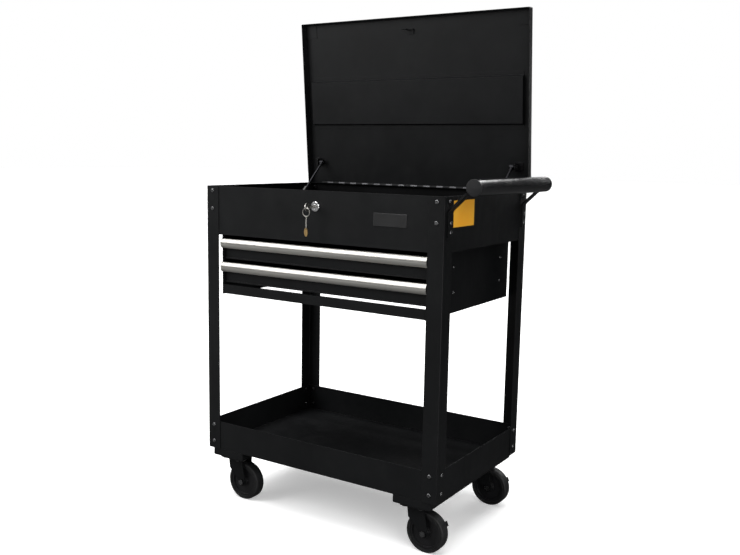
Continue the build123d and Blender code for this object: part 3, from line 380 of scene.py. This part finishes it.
# ---- floor and light ----------------------------------------------------------------------------
def make_floor():
    """Plain pale floor, faintly uneven; light bounced off it is dimmer than the floor looks."""
    half = 30.0
    corners = [(-half, -half, 0), (half, -half, 0), (half, half, 0), (-half, half, 0)]
    mesh = bpy.data.meshes.new("floor")
    mesh.from_pydata(corners, [], [(0, 1, 2, 3)])
    floor = bpy.data.objects.new("floor", mesh)
    bpy.context.scene.collection.objects.link(floor)
    m = Mat("floor")
    tone = m.mix(m.noise(1.5, 3.0), (0.90, 0.90, 0.90), (0.94, 0.94, 0.94))
    seen = m.seen()
    # painted light: for bounced light the floor is brighter towards the front left and darker towards the
    # back right
    front = m.spread(m.along((-0.30, -0.95, 0.0)), -0.8, 2.4)
    bounced = m.mix(front, (0.03, 0.03, 0.03), (0.26, 0.26, 0.26))
    m.join(m.mix(seen, bounced, tone), m.shader.inputs["Base Color"])
    m.join(m.spread(m.noise(4.0), 0.3, 0.7, 0.75, 0.9), m.shader.inputs["Roughness"])
    m.set(Specular_IOR_Level=0.1, Emission_Color=WHITE)
    m.join(m.calc("MULTIPLY", seen, 0.35), m.shader.inputs["Emission Strength"])
    mesh.materials.append(m.material)


def make_light(name, place, target, power, width, height):
    """Soft rectangular light aimed at a point."""
    data = bpy.data.lights.new(name, "AREA")
    data.shape = "RECTANGLE"
    data.size, data.size_y, data.energy = width, height, power
    light = bpy.data.objects.new(name, data)
    light.location = place
    light.rotation_euler = (Vector(target) - Vector(place)).to_track_quat("-Z", "Y").to_euler()
    bpy.context.scene.collection.objects.link(light)
    light.visible_camera = False


def make_sun(name, along, strength, spread):
    """Even light from a wide patch of ceiling."""
    data = bpy.data.lights.new(name, "SUN")
    data.energy, data.angle = strength, math.radians(spread)
    light = bpy.data.objects.new(name, data)
    light.rotation_euler = Vector(along).to_track_quat("-Z", "Y").to_euler()
    bpy.context.scene.collection.objects.link(light)


def make_world():
    """White surroundings to look at; their light comes from the front and from above the horizon."""
    world = bpy.data.worlds.new("world")
    bpy.context.scene.world = world
    world.use_nodes = True
    sky = Graph(world.node_tree, "Generated")
    shown = sky.put(sky.tree.nodes["Background"], Color=WHITE, Strength=1.0)
    lighting = sky.put(sky.add("ShaderNodeBackground"), Strength=SURROUNDINGS)
    front = sky.spread(sky.along((-0.30, -0.90, 0.30)), -0.2, 1.0, 0.02)
    above = sky.spread(sky.along((0.0, 0.0, 1.0)), -0.04, 0.30, 0.22)
    sky.join(sky.calc("MULTIPLY", front, above), lighting.inputs["Color"])
    choice = sky.add("ShaderNodeMixShader")
    sky.join(sky.seen(), choice.inputs[0])
    sky.join(lighting.outputs[0], choice.inputs[1])
    sky.join(shown.outputs[0], choice.inputs[2])
    sky.join(choice.outputs[0], sky.tree.nodes["World Output"].inputs["Surface"])


def make_lights():
    """Soft panels round the chest and an even light overhead."""
    make_light("key", (-2.2, -2.6, 2.6), BODY_MIDDLE, 90.0, 2.4, 2.4)
    make_light("fill", (2.8, -2.2, 2.4), BODY_MIDDLE, 46.0, 1.6, 1.6)
    make_light("back", (0.9, 3.4, 3.0), BODY_MIDDLE, 45.0, 2.6, 0.5)
    make_light("low", (2.2, -0.9, 0.25), TRAY_LEVEL, 14.0, 1.6, 0.5)
    make_light("rear", (0.0, 3.9, 1.3), REAR_MIDDLE, 26.0, 1.8, 1.0)
    make_sun("overhead", SUN_ALONG, SUN_STRENGTH, SUN_SPREAD)


make_camera()
materials = make_materials()
dress_nodes(materials)
dress_details(materials)
make_floor()
make_world()
make_lights()
bpy.context.scene.view_settings.view_transform = "Standard"
